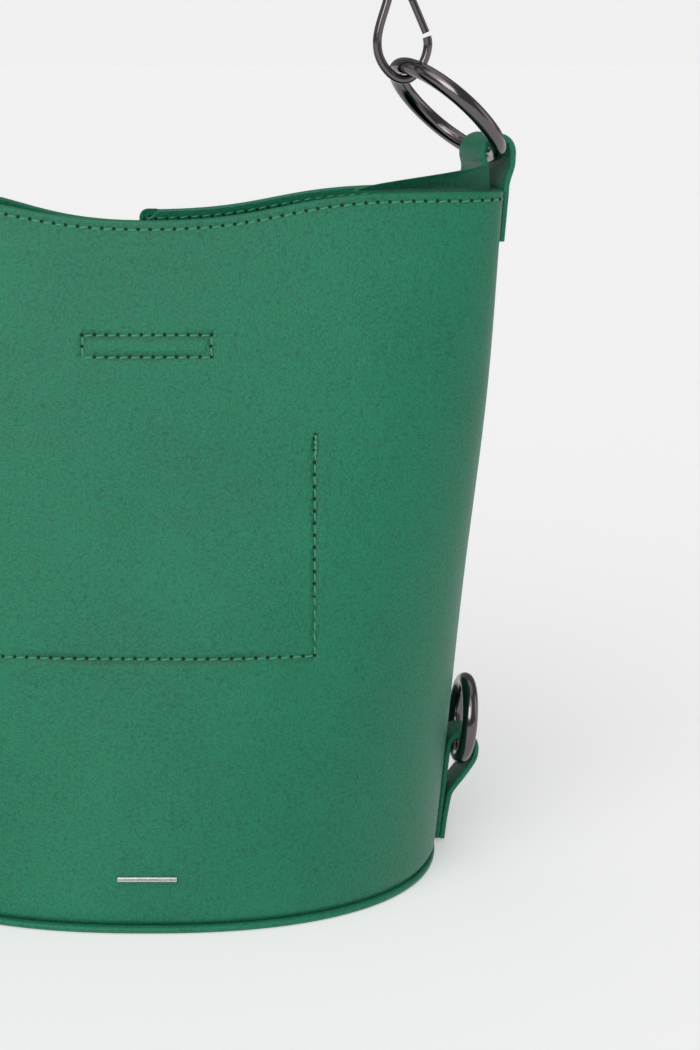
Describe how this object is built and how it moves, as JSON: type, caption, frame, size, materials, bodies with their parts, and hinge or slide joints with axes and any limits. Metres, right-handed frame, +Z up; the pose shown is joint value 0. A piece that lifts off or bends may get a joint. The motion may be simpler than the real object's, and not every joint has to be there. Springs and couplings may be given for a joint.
{
  "type": "bucket bag",
  "caption": "Leather bucket bag with an oval base and flattened mouth, side ring tabs, inner closing flap and a carrying strap on snap hooks.",
  "frame": {"origin": "centre of the base on the surface the bag stands on", "axes": "+X to the right side as seen from the front, -Y to the front with the small bar, +Z up through the mouth"},
  "size_m": [0.2554, 0.1655, 0.6029],
  "materials": {
    "green_leather": "matte pebbled grain",
    "board": "matte",
    "lining": "matte",
    "dark_metal": "polished dark nickel",
    "silver_metal": "satin",
    "spring_steel": "bright"
  },
  "bodies": {
    "bag": {"body_panel": "green_leather", "rim_facing": "green_leather", "base_panel": "green_leather", "base_board": "board", "front_pocket": "lining", "closure_patch": "green_leather", "magnet_patch": "green_leather", "wall_magnet": "dark_metal", "front_bar": "silver_metal", "upper_tab_right": "green_leather", "upper_tab_left": "green_leather", "lower_tab_right": "green_leather", "lower_tab_left": "green_leather"},
    "closing_flap": {"closure_flap": "green_leather", "flap_magnet": "dark_metal"},
    "upper_ring_right": {"upper_ring_right": "dark_metal"},
    "upper_ring_left": {"upper_ring_left": "dark_metal"},
    "lower_ring_right": {"lower_ring_right": "dark_metal"},
    "lower_ring_left": {"lower_ring_left": "dark_metal"},
    "strap": {"strap": "green_leather", "strap_rivet_right": "dark_metal", "strap_rivet_left": "dark_metal", "swivel_eye_right": "dark_metal", "swivel_eye_left": "dark_metal"},
    "hook_right": {"hook_body_right": "dark_metal", "gate_pin_right": "dark_metal", "gate_spring_right": "spring_steel"},
    "hook_left": {"hook_body_left": "dark_metal", "gate_pin_left": "dark_metal", "gate_spring_left": "spring_steel"},
    "gate_right": {"hook_gate_right": "dark_metal"},
    "gate_left": {"hook_gate_left": "dark_metal"}
  },
  "joints": [
    {"name": "strap_swing", "type": "hinge", "parent": "bag", "child": "strap", "pos_m": [0, -0.00434, 0.27765], "axis": [1, 0, 0], "range_deg": [-30, 30]},
    {"name": "hook_swivel_right", "type": "hinge", "parent": "strap", "child": "hook_right", "pos_m": [0.08742, -0.00434, 0.27765], "axis": [-0.1045, 0, 0.9945], "range_deg": [-6, 6]},
    {"name": "hook_swivel_left", "type": "hinge", "parent": "strap", "child": "hook_left", "pos_m": [-0.08742, -0.00434, 0.27765], "axis": [0.1045, 0, 0.9945], "range_deg": [-6, 6]},
    {"name": "gate_right_open", "type": "hinge", "parent": "hook_right", "child": "gate_right", "pos_m": [0.08408, -0.00434, 0.30948], "axis": [0, 1, 0], "range_deg": [0, 25], "stiffness_Nm_per_rad": 0.02, "springref_deg": -11.46},
    {"name": "gate_left_open", "type": "hinge", "parent": "hook_left", "child": "gate_left", "pos_m": [-0.08408, -0.00434, 0.30948], "axis": [0, -1, 0], "range_deg": [0, 25], "stiffness_Nm_per_rad": 0.02, "springref_deg": -11.46},
    {"name": "upper_ring_right_tilt", "type": "hinge", "parent": "bag", "child": "upper_ring_right", "pos_m": [0.11872, 0.00478, 0.2525], "axis": [-0.2756, 0.9613, 0], "range_deg": [0, 0.6]},
    {"name": "upper_ring_left_tilt", "type": "hinge", "parent": "bag", "child": "upper_ring_left", "pos_m": [-0.11872, 0.00478, 0.2525], "axis": [-0.2756, -0.9613, 0], "range_deg": [0, 0.6]},
    {"name": "lower_ring_right_drop", "type": "hinge", "parent": "bag", "child": "lower_ring_right", "pos_m": [0.11633, 0, 0.03346], "axis": [0, 1, 0], "range_deg": [0, 160]},
    {"name": "lower_ring_left_drop", "type": "hinge", "parent": "bag", "child": "lower_ring_left", "pos_m": [-0.11633, 0, 0.03346], "axis": [0, -1, 0], "range_deg": [0, 160]},
    {"name": "closing_flap_lift", "type": "hinge", "parent": "bag", "child": "closing_flap", "pos_m": [0, -0.02939, 0.1855], "axis": [1, 0, 0], "range_deg": [0, 90]}
  ]
}
